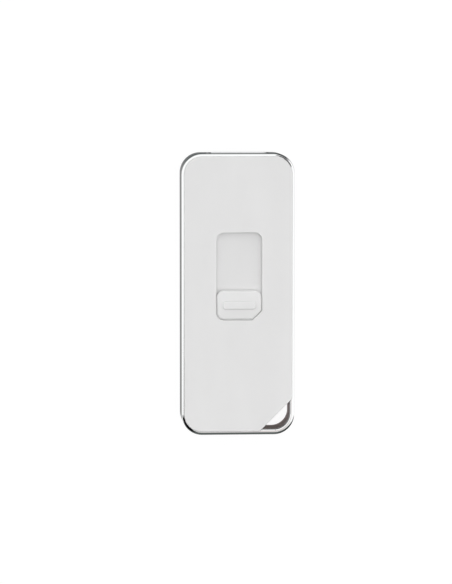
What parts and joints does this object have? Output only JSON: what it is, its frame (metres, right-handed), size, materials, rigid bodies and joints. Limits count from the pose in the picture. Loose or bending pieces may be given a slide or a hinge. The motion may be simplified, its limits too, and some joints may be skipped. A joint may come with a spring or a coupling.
{
  "type": "slide-out usb flash drive",
  "caption": "Slide-out USB-A flash drive: white covers in a chromed rim, a thumb slide in a recessed slot and a key-ring loop at one corner.",
  "frame": {"origin": "middle of the rear cover's outer face, which the drive rests on", "axes": "+Z out of the front cover, +Y towards the end that the plug comes out of, +X to the right of someone who looks at the front cover with the plug's end up"},
  "size_m": [0.0242, 0.06, 0.0092],
  "materials": {
    "rim_chrome": "polished",
    "cover_white": "satin",
    "carrier_white": "matte",
    "chassis_grey": "matte",
    "screw_steel": "satin",
    "spring_steel": "satin",
    "shell_steel": "satin",
    "tongue_black": "satin",
    "contact_gold": "polished",
    "board_green": "satin",
    "chip_black": "matte",
    "lead_tin": "satin",
    "can_steel": "satin",
    "capacitor_tan": "satin",
    "resistor_black": "satin"
  },
  "bodies": {
    "housing": {"edge_frame": "rim_chrome", "front_cover": "cover_white", "rear_cover": "cover_white", "guide_chassis": "chassis_grey", "chassis_screws": "screw_steel"},
    "carrier": {"thumb_slide": "cover_white", "carrier_lid": "carrier_white", "carrier_base": "carrier_white", "detent_spring_left": "spring_steel", "detent_spring_right": "spring_steel", "usb_shell": "shell_steel", "plug_tongue": "tongue_black", "plug_contacts": "contact_gold", "circuit_board": "board_green", "flash_chip": "chip_black", "controller_chip": "chip_black", "regulator": "chip_black", "flash_chip_leads": "lead_tin", "controller_leads": "lead_tin", "regulator_leads": "lead_tin", "chip_terminals": "lead_tin", "crystal": "can_steel", "capacitors": "capacitor_tan", "resistors": "resistor_black"}
  },
  "joints": [
    {"name": "carrier_slide", "type": "slide", "parent": "housing", "child": "carrier", "axis": [0, 1, 0], "range_m": [0, 0.0122], "deforming": ["detent_spring_left", "detent_spring_right"]}
  ]
}
